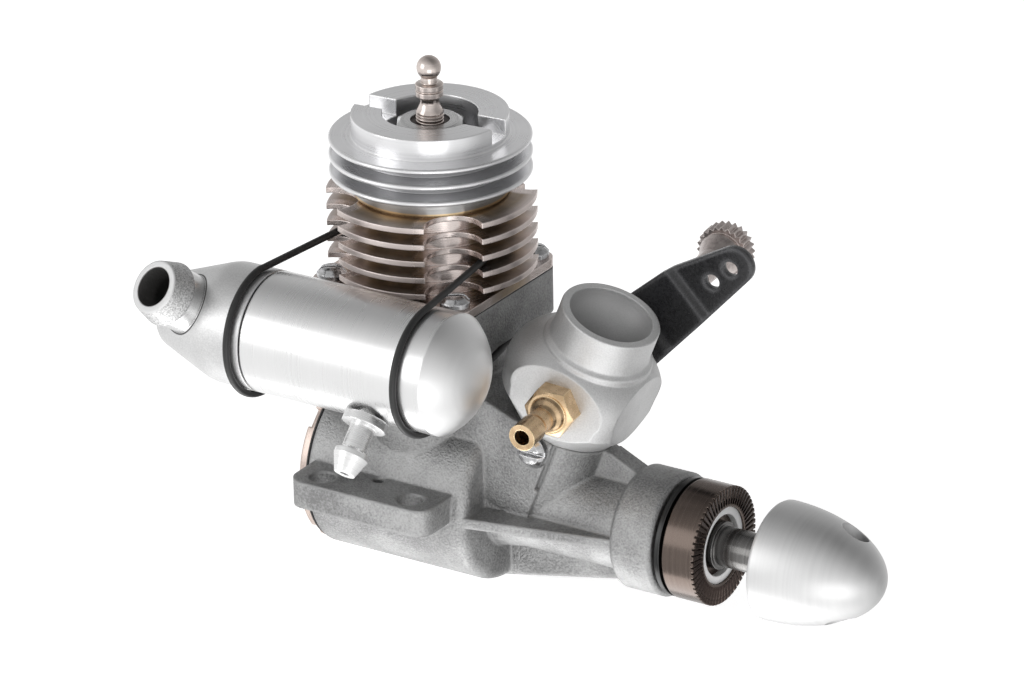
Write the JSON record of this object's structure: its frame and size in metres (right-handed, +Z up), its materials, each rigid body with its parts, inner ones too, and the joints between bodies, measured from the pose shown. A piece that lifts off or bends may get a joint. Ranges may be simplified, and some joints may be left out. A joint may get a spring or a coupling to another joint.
{
  "type": "model aircraft engine",
  "caption": "Small two-stroke glow engine with finned cylinder, screwed head, throttle carburettor, drive washer, spinner nut and a strapped-on side silencer.",
  "frame": {"origin": "middle of the four lug holes on the underside of the lugs, level with the crankshaft axis", "axes": "+X forward along the crankshaft to the propeller, +Z up along the cylinder"},
  "size_m": [0.0892, 0.0721, 0.0671],
  "materials": {
    "cast_aluminium": "sand-textured grey casting",
    "turned_aluminium": "satin turned aluminium",
    "blasted_aluminium": "fine bead-blasted aluminium",
    "cylinder_steel": "brownish turned steel",
    "bearing_steel": "ground and polished steel",
    "dark_steel": "dark ground steel",
    "zinc_steel": "zinc plated steel",
    "brass": "turned brass",
    "bronze_anodised": "dark bronze anodised aluminium",
    "black_steel": "satin black plate",
    "knob_steel": "brownish knurled steel",
    "black_rubber": "smooth matt rubber",
    "gasket_paper": "black gasket",
    "phenolic": "brown insulator"
  },
  "bodies": {
    "case": {"crankcase": "cast_aluminium", "rear_cover": "cylinder_steel", "rear_gasket": "gasket_paper", "cylinder": "cylinder_steel", "cylinder_gasket": "gasket_paper", "cylinder_screws": "zinc_steel", "head": "turned_aluminium", "head_gasket": "brass", "glow_plug": "zinc_steel", "plug_insulator": "phenolic", "plug_stud": "bearing_steel", "muffler_barrel": "turned_aluminium", "muffler_rear": "blasted_aluminium", "pressure_nipple": "turned_aluminium", "muffler_band": "black_rubber", "carburettor": "blasted_aluminium", "clamp_screw": "zinc_steel", "fuel_nipple": "brass", "rear_outer_race": "bearing_steel", "front_outer_race": "bearing_steel"},
    "crank": {"crankshaft": "dark_steel", "rear_inner_race": "bearing_steel", "front_inner_race": "bearing_steel", "drive_washer": "bronze_anodised", "dust_washer": "dark_steel", "collet_ring": "turned_aluminium"},
    "balls": {"bearing_balls": "bearing_steel"},
    "spinner": {"spinner_nut": "turned_aluminium"},
    "piston": {"piston": "dark_steel", "gudgeon_pin": "bearing_steel"},
    "rod": {"connecting_rod": "turned_aluminium", "crankpin": "bearing_steel"},
    "throttle": {"throttle_barrel": "turned_aluminium", "throttle_arm": "black_steel", "arm_nut": "zinc_steel", "needle_holder": "turned_aluminium", "needle_ring": "knob_steel"},
    "needle": {"needle": "bearing_steel", "needle_knob": "knob_steel"}
  },
  "joints": [
    {"name": "crank_spin", "type": "hinge", "parent": "case", "child": "crank", "pos_m": [0, 0, 0], "axis": [1, 0, 0], "continuous": true},
    {"name": "ball_spin", "type": "hinge", "parent": "case", "child": "balls", "pos_m": [0, 0, 0], "axis": [1, 0, 0], "continuous": true},
    {"name": "spinner_off", "type": "slide", "parent": "crank", "child": "spinner", "axis": [1, 0, 0], "range_m": [0, 0.02]},
    {"name": "piston_stroke", "type": "slide", "parent": "case", "child": "piston", "axis": [0, 0, -1], "range_m": [0, 0.0096]},
    {"name": "rod_swing", "type": "hinge", "parent": "piston", "child": "rod", "pos_m": [0.001, 0, 0.0278], "axis": [1, 0, 0], "range_deg": [-12, 12]},
    {"name": "throttle_turn", "type": "hinge", "parent": "case", "child": "throttle", "pos_m": [0.023, 0, 0.018], "axis": [-0.0969, 0.9945, 0.0392], "range_deg": [0, 75]},
    {"name": "needle_turn", "type": "hinge", "parent": "throttle", "child": "needle", "pos_m": [0.023, 0, 0.018], "axis": [-0.0969, 0.9945, 0.0392], "range_deg": [0, 720]}
  ],
  "couplings": [
    {"joint": "ball_spin", "follows": "crank_spin", "ratio": 0.395}
  ]
}
